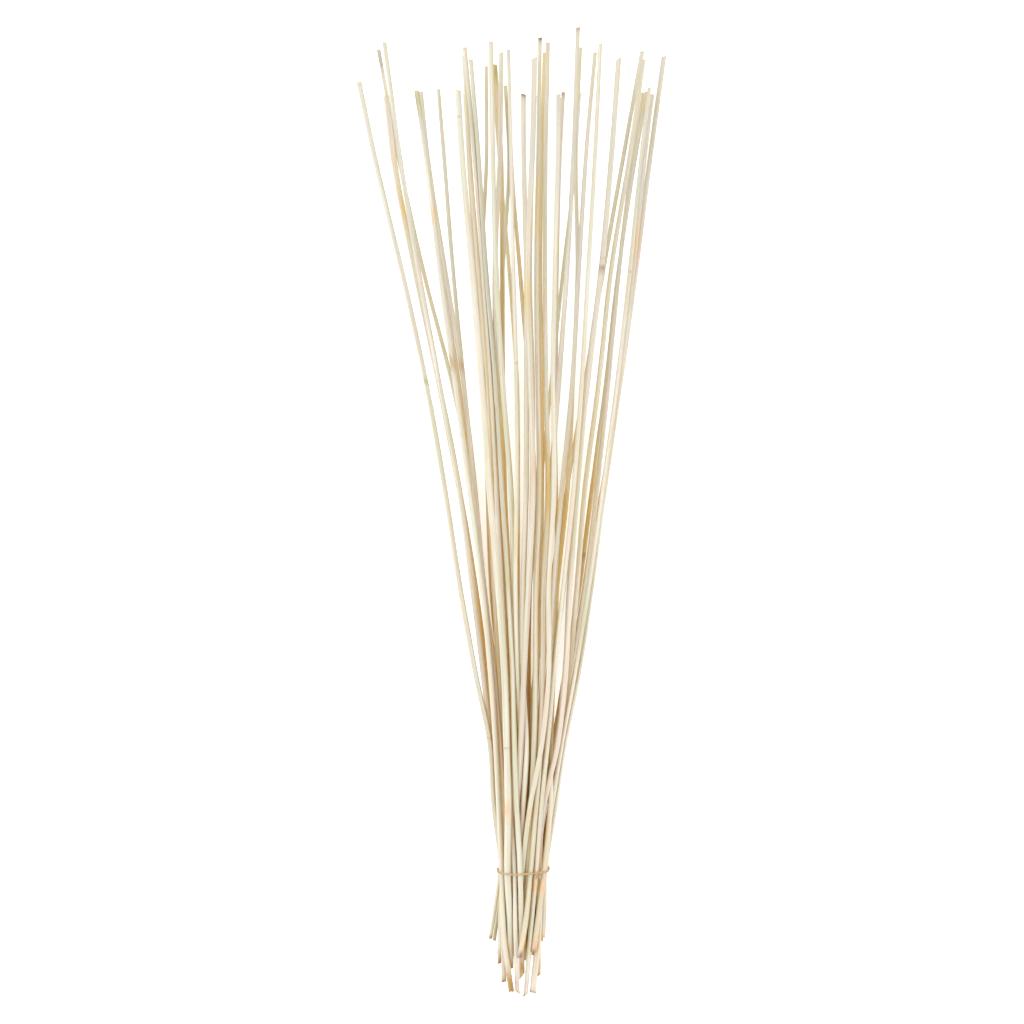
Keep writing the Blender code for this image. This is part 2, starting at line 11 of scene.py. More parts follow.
import bpy
import numpy as np
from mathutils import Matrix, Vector


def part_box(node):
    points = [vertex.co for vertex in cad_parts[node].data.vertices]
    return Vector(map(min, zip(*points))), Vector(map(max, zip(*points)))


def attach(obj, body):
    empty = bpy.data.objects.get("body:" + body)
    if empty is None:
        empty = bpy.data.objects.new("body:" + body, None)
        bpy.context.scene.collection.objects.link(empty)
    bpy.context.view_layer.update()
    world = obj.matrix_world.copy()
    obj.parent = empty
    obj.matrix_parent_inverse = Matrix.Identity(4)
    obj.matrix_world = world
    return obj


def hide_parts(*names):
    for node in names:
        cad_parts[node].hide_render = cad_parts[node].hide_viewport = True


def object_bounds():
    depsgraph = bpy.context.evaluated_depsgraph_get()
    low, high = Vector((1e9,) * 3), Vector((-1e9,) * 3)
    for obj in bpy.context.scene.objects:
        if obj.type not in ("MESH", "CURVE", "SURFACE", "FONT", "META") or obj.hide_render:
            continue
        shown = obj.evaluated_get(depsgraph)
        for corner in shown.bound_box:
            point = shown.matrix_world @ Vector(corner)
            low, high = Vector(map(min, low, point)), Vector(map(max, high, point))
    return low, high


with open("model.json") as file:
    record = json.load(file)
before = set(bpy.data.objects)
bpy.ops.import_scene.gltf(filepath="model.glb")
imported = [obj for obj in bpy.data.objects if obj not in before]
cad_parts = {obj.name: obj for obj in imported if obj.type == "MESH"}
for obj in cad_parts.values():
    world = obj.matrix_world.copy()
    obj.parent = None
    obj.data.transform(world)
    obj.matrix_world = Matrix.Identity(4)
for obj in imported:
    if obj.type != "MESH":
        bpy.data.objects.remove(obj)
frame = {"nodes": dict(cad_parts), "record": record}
CAD_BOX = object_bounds()

# The view: straight down from EYE. A pixel of the picture is PIXEL wide at READ_HEIGHT over the floor.
PICTURE_SIDE = 1024
EYE = (0.00053, 0.00792, 2.0768)
READ_HEIGHT = 0.077
PIXEL = 1.0 / 971
SENSOR = 0.036
FARTHEST_SEEN = 100

# Reading the solids: how far from a cut end its corners lie, how far past a bend a section is taken, and
# the area of an eight-sided section of radius 1.
END_RING = 0.006
PAST_BEND = 0.00002
OCTAGON_AREA = 2 * math.sqrt(2)

# Reeds: points round the stem, and its rings. RING_LEAST is the least distance between two of them.
SIDES = 24
RING_STEP = 0.0045
RING_LEAST = 0.00018
SCAR_RINGS = (-2.2, -1.2, -0.6, -0.2, 0.2, 0.6, 1.2, 2.2)
END_RINGS = (0.0003, 0.0009, 0.0020)

# Reeds: how full a stem is beside its solid, how far out of it the stem may reach, how far in from a cut
# the cut's lean fades, and the angle of an edge that isn't smoothed.
FULLNESS = 1.03
TOUCH = 0.00014
END_REACH = 0.012
SHARP_ANGLE = math.radians(42)

# Reeds: the section. Shares are of the stem's radius, angles and TWIST (a metre of stem) in radians.
FLATS = (4, 8)
FLATS_UNEVEN = 0.25
FLAT_HALF = 0.75
FLAT_SHARE = (0.3, 0.7)
EDGE_HALF = 0.16
OVAL_SHARE = 0.045
RIB_SHARE = 0.022
RIB_STEP = 0.05
THICKNESS_SHARE = 0.02
THICKNESS_STEP = 0.03
TWIST = 1.6

# Reeds: leaf scars.
SCAR_RISE = 0.055
SCAR_HALF = 0.0011
SCAR_SPACING = (0.14, 0.34)
SCAR_FROM_BUTT = 0.03
SCAR_FROM_TIP = 0.02
SCAR_CLEAR = 0.06

# Reeds: cut ends. A ring of a cap is a share of the cut's radius and a depth in from the cut.
RAGGED = 0.00035
RIM_DEPTH = 0.00012
CAP_RINGS = ((0.76, 0.0007), (0.84, 0.0))
PITH_DEPTH = 0.0009

# Light from each direction in the section across the bunch. AWAY is the place and the radius of a reed
# where it doesn't pass. There it still keeps the light from the upper right off the others.
SKY_DIRECTIONS = 16
LEAST_FROM_BELOW = 0.3
AWAY = 9

# Each reed's random numbers start from SEED and the reed's own number.
SEED = 4100

# Colours, as linear red, green and blue: the slots' own, and those that are mixed into them.
COLOURS = {
    "ivory_reed": (0.68, 0.655, 0.56),
    "green_reed": (0.60, 0.62, 0.48),
    "pink_reed": (0.69, 0.605, 0.53),
    "straw_reed": (0.67, 0.59, 0.39),
    "golden_reed": (0.62, 0.44, 0.15),
}
PINK = (0.71, 0.595, 0.53)
GREEN = (0.56, 0.59, 0.43)
PALE = (0.74, 0.74, 0.68)
ORANGE = (0.74, 0.45, 0.20)
# The next three colours are painted shade, where the other reeds keep the light off a stem and along its
# flats' edges: golden near the tie, khaki towards the tips, and the deepest shade.
GOLDEN_PAINTED_SHADE = (0.84, 0.61, 0.24)
KHAKI_PAINTED_SHADE = (0.59, 0.55, 0.36)
DEEPEST_PAINTED_SHADE = (0.76, 0.46, 0.15)
WEATHERED = (0.545, 0.54, 0.485)
SCAR_COLOUR = (0.40, 0.25, 0.10)
PITH = (0.62, 0.50, 0.30)
PITH_MIDDLE = 0.6

# Streaks of each stem: the colour, its least share, how far the share varies, the length of a streak and
# how often it is blurred round the stem. A golden stem has GOLDEN_STREAKS of them.
STREAKS = ((PINK, 0.14, 0.46, 0.09, 1), (GREEN, 0.10, 0.46, 0.11, 1), (PALE, 0.14, 0.36, 0.07, 2))
GOLDEN_STREAKS = 0.5
REED_SHADES = (0.88, 1.05)
PITH_SHADES = (0.55, 1.1)

# Orange flecks: their share, how far over its mean the noise makes one, their length and their blur.
FLECK_SHARE, FLECK_ABOVE, FLECK_STEP, FLECK_BLUR = 0.32, 1.2, 0.045, 3

# Where on the bunch a colour comes in: the Y at which it starts and how far on it is full. The painted shade
# turns from golden to khaki towards the tips, and the painted shade between the reeds is weaker at the
# butts, down to its least share.
KHAKI_SHADE_FROM = (0.05, 0.3)
WEATHERED_FROM = (0.02, 0.35)
PAINTED_SHADE_FROM = (-0.46, 0.07)
PAINTED_SHADE_AT_LEAST = 0.25

# Painted shade, in a golden colour that turns khaki towards the tips: along the edges of a stem's flats, and
# where the other reeds leave a point less than a set share of the light. A deeper painted shade where they
# leave it still less light, and weathered wood towards the tips.
EDGE_PAINTED_SHADE_SHARE = 0.11
EDGE_SHADES = (0.3, 1.0)
WEATHERED_SHADES = (0.35, 0.9)
WEATHERED_STEP = 0.05
WEATHERED_MEAN, WEATHERED_VARIES = 0.7, 0.4
PAINTED_SHADE_BELOW = 0.50
PAINTED_SHADE_SHARE = 0.90
PAINTED_SHADE_POWER = 0.9
DEEPEST_SHADE_BELOW = 0.08
DEEPEST_SHADE_SHARE = 0.7

# Dark lines: beside a leaf scar, and at the rim of a cut.
SCAR_SHARE = 0.5
SCAR_MEAN, SCAR_VARIES = 0.7, 0.3
SCAR_LINE_OFF = 0.0004
SCAR_LINE_HALF = 0.0007
RIM_SHARE = 0.45
RIM_HALF = 0.0012

# Grain of the stems: the radius of its coordinates round the stem, how far they may be moved for each reed,
# and noises, each with its scale across the stem, twice, and along it, its detail and its roughness.
GRAIN_RADIUS = 0.003
GRAIN_SHIFT = 9
FIBRES = ((3800, 3800, 26), 4.0, 0.6)
BANDS = ((900, 900, 9), 3.0, 0.6)
BLOTCHES = ((260, 260, 60), 3.0, 0.6)
SPECKS = ((1500, 1500, 420), 2.0, 0.7)
PORES = ((5200, 5200, 5200), 2.0, 0.7)

# Leaf scars that stand out, as levels in the picture, and how faint the others are.
SCARS = {
    "reed_a1": (738,),
    "reed_c1": (117, 748),
    "reed_d5": (363,),
    "reed_j1": (258,),
    "reed_k4": (272,),
}
FAINT_SCAR = 0.2

# Stains that can be seen on each reed: the level, the half length in pixels, the colour and its strength.
# The long golden bands on the low reeds are partly their golden tint and partly painted shade where they lie
# under the others.
# STAIN_STEP is how far along the stem a stain's unevenness changes.
STAIN_STEP = 0.02
STAIN_MEAN, STAIN_VARIES = 1.1, 0.25
BROWN = (0.16, 0.075, 0.03)
RUST = (0.46, 0.20, 0.08)
MOSS = (0.38, 0.40, 0.13)
# A golden tint that is also painted shade on the low reeds under the others.
GOLDEN_TINT_AND_SHADE = (0.66, 0.47, 0.14)
AMBER = (0.42, 0.24, 0.06)
OLIVE = (0.36, 0.34, 0.13)
LILAC = (0.60, 0.43, 0.48)
PLUM = (0.30, 0.18, 0.20)
STAINS = {
    "reed_a1": ((381, 3, MOSS, 0.8), (958, 7, AMBER, 0.7), (965.5, 4.5, BROWN, 0.95)),
    "reed_a2": ((58, 14, BROWN, 0.3),),
    "reed_a3": ((952, 4, BROWN, 0.7),),
    "reed_a4": ((160, 12, ORANGE, 0.35), (208, 26, GOLDEN_TINT_AND_SHADE, 0.45)),
    "reed_b1": (
        (102, 18, OLIVE, 0.5),
        (215, 9, ORANGE, 0.5),
        (362, 9, AMBER, 0.7),
        (984, 14, AMBER, 0.9),
        (993, 3, BROWN, 0.85),
    ),
    "reed_b2": ((366, 6, RUST, 0.6), (983, 3.5, BROWN, 0.9)),
    "reed_c1": ((809, 10, ORANGE, 0.45), (967, 5, RUST, 0.8)),
    "reed_c2": ((984, 9, LILAC, 0.6), (996, 3.5, BROWN, 0.6)),
    "reed_c4": ((968, 12, AMBER, 0.9), (982, 4, OLIVE, 0.9)),
    "reed_d3": ((72, 12, OLIVE, 0.7), (500, 90, GOLDEN_TINT_AND_SHADE, 0.7)),
    "reed_d6": ((180, 8, ORANGE, 0.3),),
    "reed_e1": ((94, 3, BROWN, 0.7),),
    "reed_f1": ((292, 26, GOLDEN_TINT_AND_SHADE, 0.45),),
    "reed_f2": ((38, 3, BROWN, 0.8), (205, 34, GOLDEN_TINT_AND_SHADE, 0.45)),
    "reed_f4": ((485, 45, GOLDEN_TINT_AND_SHADE, 0.75), (957, 5, PLUM, 0.95)),
    "reed_g2": ((93, 3, BROWN, 0.7),),
    "reed_h1": ((28, 3, BROWN, 0.5),),
    "reed_h2": ((530, 70, GOLDEN_TINT_AND_SHADE, 0.7),),
    "reed_h3": ((938, 3, BROWN, 0.45),),
    "reed_i2": ((886, 7, ORANGE, 0.5), (984, 6, LILAC, 0.5), (998, 4, BROWN, 0.65)),
    "reed_j1": ((269, 3, BROWN, 0.7), (993, 2.6, RUST, 0.95)),
    "reed_k1": ((932, 9, OLIVE, 0.35), (941, 2, BROWN, 0.5)),
    "reed_k4": ((968, 9, OLIVE, 0.5), (978, 3, BROWN, 0.6)),
    "reed_k5": ((245, 22, ORANGE, 0.5), (939, 4, PLUM, 0.35)),
    "reed_k6": ((556, 3, BROWN, 0.8), (520, 80, GOLDEN_TINT_AND_SHADE, 0.6)),
    "reed_n2": ((620, 80, GOLDEN_TINT_AND_SHADE, 0.9),),
    "reed_n3": ((560, 60, GOLDEN_TINT_AND_SHADE, 0.8),),
    "reed_n4": ((600, 70, GOLDEN_TINT_AND_SHADE, 0.8),),
    "reed_n5": ((620, 80, GOLDEN_TINT_AND_SHADE, 0.8),),
    "reed_n6": ((480, 60, GOLDEN_TINT_AND_SHADE, 0.7), (887, 8, ORANGE, 0.45), (946, 5, ORANGE, 0.5), (952, 3, BROWN, 0.6)),
}

# Butts that are cut askew: the slope of the cut across the bunch.
BUTT_SLANTS = {
    "reed_a1": 0.6,
    "reed_b2": 0.3,
    "reed_c2": -0.8,
    "reed_c4": 1.3,
    "reed_i2": 0.9,
    "reed_k4": 0.8,
    "reed_k5": -0.3,
}

# The cord that ties the bunch: two strands, twisted. Its way is taken over WAY_STEPS points on each side.
# NEVER_TAKEN is a direction in which no strand starts, STRAND_END rounds a strand's ends over its first
# rings, and STRAND_SHIFT sets the strands' grain apart.
BAND_STAND_OFF = 0.0006
BAND_DEPTH = 0.0014
BAND_SKEW = 0.03
OUTLINE_STEPS = 72
CORD_STEP = 0.0004
WAY_STEPS = 3
STRAND_RADIUS = 0.00056
STRAND_OFFSET = 0.00045
STRAND_PITCH = 0.0058
STRAND_SIDES = 10
STRAND_END = (0.3, 2.2)
STRAND_SHIFT = 0.37
NEVER_TAKEN = (0, 1, 0.2)
CORD_COLOUR = (0.58, 0.40, 0.20)

# Its knot and its two cut ends. KNOT_STRAND and TAIL_STRAND are how thick their strands are beside the
# loop's. TAIL_TURNS is in degrees from the way to the butts, and a tail starts at TAIL_FROM of its length.
KNOT_PLACE = (538.5, 874.8)
KNOT_SIZE = (0.0030, 0.0026, 0.0012)
KNOT_RISE = 0.0010
KNOT_POINTS = 90
KNOT_STRAND = 1.15
TAIL_TURNS = (25, -38)
TAIL_LENGTH = 0.0062
TAIL_FROM = 0.2
TAIL_DROP = 0.0006
TAIL_POINTS = 22
TAIL_TWIST = 1.2
TAIL_STRAND = 0.8

# The studio. GLOW is how brightly the floor is lit from below, as a light table is. A softbox has its name,
# its place, its side and its watts.
FLOOR_HALF = 12.0
FLOOR_COLOUR = (0.96, 0.96, 0.955, 1)
GLOW = 0.4
WHITE = (1, 1, 1, 1)
SOFTBOXES = (
    ("softbox_left", (-1.3, 0.5, 2.2), 1.8, 22),
    ("softbox_right", (1.6, -0.3, 2.3), 1.8, 14),
)


def node_solid(node):
    """(points, triangles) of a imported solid."""
    mesh = frame["nodes"][node].data
    mesh.calc_loop_triangles()
    points = np.empty(len(mesh.vertices) * 3, np.float32)
    mesh.vertices.foreach_get("co", points)
    corners = np.empty(len(mesh.loop_triangles) * 3, np.int32)
    mesh.loop_triangles.foreach_get("vertices", corners)
    return points.reshape(-1, 3).astype(float), corners.reshape(-1, 3)


def section(points, corners, y):
    """The middle and the radius of a solid's section at this Y, from where its edges pass through it."""
    ends = np.concatenate([corners[:, [0, 1]], corners[:, [1, 2]], corners[:, [2, 0]]])
    start, end = points[ends[:, 0]], points[ends[:, 1]]
    passing = (start[:, 1] - y) * (end[:, 1] - y) < 0
    start, end = start[passing], end[passing]
    share = (y - start[:, 1]) / (end[:, 1] - start[:, 1])
    met = (start + (end - start) * share[:, None])[:, [0, 2]]
    spokes = met - met.mean(0)
    loop = met[np.argsort(np.arctan2(spokes[:, 1], spokes[:, 0]))]
    after = np.roll(loop, -1, axis=0)
    cross = loop[:, 0] * after[:, 1] - loop[:, 1] * after[:, 0]
    area = cross.sum() / 2
    middle = ((loop + after) * cross[:, None]).sum(0) / (6 * area)
    return middle[0], middle[1], math.sqrt(abs(area) / OCTAGON_AREA)


def end_ring(points, at_tip):
    """The cut end of a reed's solid: its middle, its radius, and its slopes in X and Z."""
    limit = points[:, 1].max() - END_RING if at_tip else points[:, 1].min() + END_RING
    corners = points[points[:, 1] > limit] if at_tip else points[points[:, 1] < limit]
    corners = np.unique(np.round(corners, 6), axis=0)
    middle = corners.mean(0)
    off = corners - middle
    slopes = np.linalg.lstsq(off[:, [0, 2]], off[:, 1], rcond=None)[0]
    return middle, np.linalg.norm(off[:, [0, 2]], axis=1).mean(), slopes


def smooth_curve(knots_at, knots, at):
    """A cubic through the knots, with the slopes of its neighbours."""
    slopes = np.gradient(knots, knots_at)
    k = np.clip(np.searchsorted(knots_at, at) - 1, 0, len(knots_at) - 2)
    span = knots_at[k + 1] - knots_at[k]
    t = (at - knots_at[k]) / span
    return (
        (2 * t**3 - 3 * t**2 + 1) * knots[k]
        + (t**3 - 2 * t**2 + t) * span * slopes[k]
        + (3 * t**2 - 2 * t**3) * knots[k + 1]
        + (t**3 - t**2) * span * slopes[k + 1]
    )


def shared_bends(solids):
    """The Y of the planes in which every reed's solid has its bends."""
    levels = np.concatenate([np.unique(np.round(points, 5), axis=0)[:, 1] for points, _ in solids.values()])
    found, counts = np.unique(np.round(levels, 4), return_counts=True)
    return found[counts > len(solids) * 2]


def reed_line(points, corners, bends):
    """The knots of a reed's line, as rows of Y, X, Z and radius, and the slopes of its two cut ends."""
    butt, butt_radius, butt_slopes = end_ring(points, at_tip=False)
    tip, tip_radius, tip_slopes = end_ring(points, at_tip=True)
    rows = [(butt[1], butt[0], butt[2], butt_radius)]
    for y in bends:
        if butt[1] + END_RING < y < tip[1] - END_RING:
            rows.append((y, *section(points, corners, y + PAST_BEND)))
    rows.append((tip[1], tip[0], tip[2], tip_radius))
    return np.array(rows), butt_slopes, tip_slopes


def level_to_y(level, height):
    """Y of a level in the picture, for a point at this height."""
    return EYE[1] + (PICTURE_SIDE / 2 - level) * PIXEL * (EYE[2] - height) / (EYE[2] - READ_HEIGHT)


def place_to_x(place, height):
    """X of a place across the picture, for a point at this height."""
    return EYE[0] + (place - PICTURE_SIDE / 2) * PIXEL * (EYE[2] - height) / (EYE[2] - READ_HEIGHT)


def seen_y(level, knots):
    """Y at which a reed passes a level in the picture."""
    y = level_to_y(level, READ_HEIGHT)
    for _ in range(3):
        y = level_to_y(level, np.interp(y, knots[:, 0], knots[:, 2]))
    return y


def along_noise(rng, at, columns, step, blur=0):
    """Smooth noise of about 1, with a column for each point round the stem. It changes every step along."""
    start, stop = at[0], at[-1]
    count = max(int((stop - start) / step) + 3, 4)
    values = rng.normal(size=(count, columns))
    for _ in range(blur):
        values = (np.roll(values, 1, axis=1) + 2 * values + np.roll(values, -1, axis=1)) / 4
    values /= values.std() + 1e-9
    place = (at - start) / (stop - start) * (count - 1.001)
    k = place.astype(int)
    t = place - k
    t = (t * t * (3 - 2 * t))[:, None]
    return values[k] * (1 - t) + values[k + 1] * t


def ring_places(start, stop, scars):
    """The Y of every ring along a reed: even steps, and closer ones at the leaf scars and the cut ends."""
    count = int((stop - start) / RING_STEP)
    places = list(np.linspace(start, stop, count + 1))
    for scar in scars:
        places += [scar + off * SCAR_HALF for off in SCAR_RINGS]
    for off in END_RINGS:
        places += [start + off, stop - off]
    kept = []
    for place in sorted(places):
        if start <= place <= stop and (not kept or place - kept[-1] > RING_LEAST):
            kept.append(place)
    kept[-1] = stop
    return np.array(kept)


def flat_sides(rng, theta, turn):
    """The stem's reach at each angle, as a share of its radius, and how near it is to an edge of a flat."""
    flats = rng.integers(*FLATS)
    edges = (np.arange(flats) + rng.uniform(-FLATS_UNEVEN, FLATS_UNEVEN, flats)) * 2 * math.pi / flats
    edges = np.append(edges, edges[0] + 2 * math.pi)
    turned = (theta[None, :] - turn[:, None] - edges[0]) % (2 * math.pi) + edges[0]
    k = np.clip(np.searchsorted(edges, turned) - 1, 0, flats - 1)
    half = (edges[k + 1] - edges[k]) / 2
    off = turned - edges[k] - half
    reach = np.cos(np.minimum(half, FLAT_HALF)) / np.cos(np.clip(off, -FLAT_HALF, FLAT_HALF))
    reach = np.minimum(reach, 1.0)
    share = rng.uniform(*FLAT_SHARE)
    edge = np.exp(-(((np.abs(off) - half) / EDGE_HALF) ** 2))
    return 1 - share + share * reach, edge


def sky_share(lines, name, ring_y, centre_x, centre_z, radius, theta):
    """How much of the light from outside the bunch reaches each point of a reed, past the other reeds."""
    others = [knots for key, knots in lines.items() if key != name]
    other_x, other_z, other_radius = (
        np.array([np.interp(ring_y, knots[:, 0], knots[:, column], AWAY, AWAY) for knots in others]).T
        for column in (1, 2, 3)
    )
    x = centre_x[:, None] + radius[:, None] * np.cos(theta)
    z = centre_z[:, None] + radius[:, None] * np.sin(theta)
    free = np.zeros_like(x)
    whole = np.zeros_like(x)
    for angle in (np.arange(SKY_DIRECTIONS) + 0.5) * 2 * math.pi / SKY_DIRECTIONS:
        way_x, way_z = math.cos(angle), math.sin(angle)
        facing = np.maximum(np.cos(theta - angle), 0)[None, :]
        weight = facing * (LEAST_FROM_BELOW + (1 - LEAST_FROM_BELOW) * max(way_z, 0))
        to_x = other_x[:, None, :] - x[:, :, None]
        to_z = other_z[:, None, :] - z[:, :, None]
        ahead = to_x * way_x + to_z * way_z
        aside = np.abs(to_x * way_z - to_z * way_x)
        blocked = ((ahead > 0) & (aside < other_radius[:, None, :])).any(-1)
        free += weight * ~blocked
        whole += weight
    return free / whole


def mixed(base, colour, share):
    """Colours moved towards another by a share at each point."""
    return base + (np.asarray(colour) - base) * np.clip(share, 0, 1)[..., None]


def put(name, data):
    """A new object of this data, in the scene."""
    made = bpy.data.objects.new(name, data)
    bpy.context.scene.collection.objects.link(made)
    return made


def new_mesh_object(name, points, faces, layers):
    """A smooth object from points and faces, with its point layers."""
    mesh = bpy.data.meshes.new(name)
    mesh.from_pydata(points.tolist(), [], faces)
    for layer, (kind, values) in layers.items():
        made = mesh.attributes.new(layer, kind, "POINT")
        field = "color" if kind == "FLOAT_COLOR" else "vector" if kind == "FLOAT_VECTOR" else "value"
        made.data.foreach_set(field, np.asarray(values, np.float32).ravel())
    mesh.update()
    mesh.shade_smooth()
    return put(name, mesh)


def tube_faces(rings, sides, first, last):
    """Faces of a closed tube of rings, with a point before the first ring and one after the last."""
    k = np.arange(sides)
    after = (k + 1) % sides
    start = np.arange(rings - 1)[:, None] * sides
    quads = np.stack([start + k, start + sides + k, start + sides + after, start + after], -1)
    faces = quads.reshape(-1, 4).tolist()
    faces += [(first, a, b) for a, b in zip(k.tolist(), after.tolist())]
    end = (rings - 1) * sides
    faces += [(end + a, last, end + b) for a, b in zip(k.tolist(), after.tolist())]
    return faces


def leaf_scars(rng, name, knots):
    """The Y of a reed's leaf scars: those that stand out in the picture first, and then faint ones."""
    start, stop = knots[0, 0], knots[-1, 0]
    scars = [seen_y(level, knots) for level in SCARS.get(name, ())]
    place = start + rng.uniform(SCAR_FROM_BUTT, SCAR_SPACING[1])
    while place < stop - SCAR_FROM_TIP:
        if all(abs(place - scar) > SCAR_CLEAR for scar in scars):
            scars.append(place)
        place += rng.uniform(*SCAR_SPACING)
    return scars


def comes_in(ring_y, where, least=0):
    """The share, at each ring, of a colour that starts at one Y and is full some way further on."""
    start, run = where
    return np.clip((ring_y - start) / run, least, 1)


def cut_face(rim, x, z, way):
    """The rings inside a cut, from pith to rim, and the pith's middle. way is 1 at a butt, -1 at a tip."""
    middle = np.array([x, rim[:, 1].mean(), z])
    rings = [middle + (rim - middle) * share + (0, way * depth, 0) for share, depth in CAP_RINGS]
    return rings, middle + (0, way * PITH_DEPTH, 0)


def stem_tint(rng, name, number, slot, knots, ring_y, theta, edge, sky, scar_off, plain):
    """The colour of each point of a stem: its own tint in streaks, with painted shade along its flats' edges
    and where the other reeds keep the light off it.
    """

    def noise(step, blur):
        return along_noise(rng, ring_y, SIDES, step, blur)

    streaks = GOLDEN_STREAKS if slot == "golden_reed" else 1.0
    base = np.array(COLOURS[slot]) * rng.uniform(*REED_SHADES)
    tint = np.broadcast_to(base, (len(ring_y), SIDES, 3)).copy()
    for colour, least, varies, step, blur in STREAKS:
        tint = mixed(tint, colour, streaks * (least + varies * noise(step, blur)))
    tint = mixed(tint, ORANGE, FLECK_SHARE * np.maximum(noise(FLECK_STEP, FLECK_BLUR) - FLECK_ABOVE, 0))

    # Painted shade colours: golden near the tie, khaki towards the tips.
    shade_tint, deepest_shade_tint = (
        mixed(np.tile(colour, (len(ring_y), 1)), KHAKI_PAINTED_SHADE, comes_in(ring_y, KHAKI_SHADE_FROM))[:, None]
        for colour in (GOLDEN_PAINTED_SHADE, DEEPEST_PAINTED_SHADE)
    )
    # Painted shade along the edges of the flats.
    tint = mixed(tint, shade_tint, EDGE_PAINTED_SHADE_SHARE * edge * rng.uniform(*EDGE_SHADES))
    weathered = streaks * comes_in(ring_y, WEATHERED_FROM)[:, None] * rng.uniform(*WEATHERED_SHADES)
    tint = mixed(tint, WEATHERED, weathered * (WEATHERED_MEAN + WEATHERED_VARIES * noise(WEATHERED_STEP, 2)))
    # Painted shade where the other reeds keep the light off, deepest where the least light comes.
    painted_shade = np.clip((PAINTED_SHADE_BELOW - sky) / PAINTED_SHADE_BELOW, 0, 1)
    painted_shade = painted_shade * comes_in(ring_y, PAINTED_SHADE_FROM, PAINTED_SHADE_AT_LEAST)[:, None]
    tint = mixed(tint, shade_tint, PAINTED_SHADE_SHARE * painted_shade**PAINTED_SHADE_POWER)
    tint = mixed(tint, deepest_shade_tint, DEEPEST_SHADE_SHARE * np.clip((DEEPEST_SHADE_BELOW - sky) / DEEPEST_SHADE_BELOW, 0, 1))

    scar_line = np.exp(-(((scar_off - SCAR_LINE_OFF) / SCAR_LINE_HALF) ** 2))[:, None]
    uneven = SCAR_MEAN + SCAR_VARIES * np.cos(theta * 3 + number)
    tint = mixed(tint, SCAR_COLOUR, SCAR_SHARE * plain * scar_line * uneven)
    for level, half, colour, strength in STAINS.get(name, ()):
        off = (ring_y - seen_y(level, knots)) / (half * PIXEL)
        patch = np.exp(-(off**2))[:, None] * (STAIN_MEAN + STAIN_VARIES * noise(STAIN_STEP, 2))
        tint = mixed(tint, colour, strength * patch)
    from_end = np.minimum(ring_y - knots[0, 0], knots[-1, 0] - ring_y)
    rim = RIM_SHARE * np.exp(-((from_end / RIM_HALF) ** 2))
    return mixed(tint, SCAR_COLOUR, rim[:, None] * np.ones(SIDES))


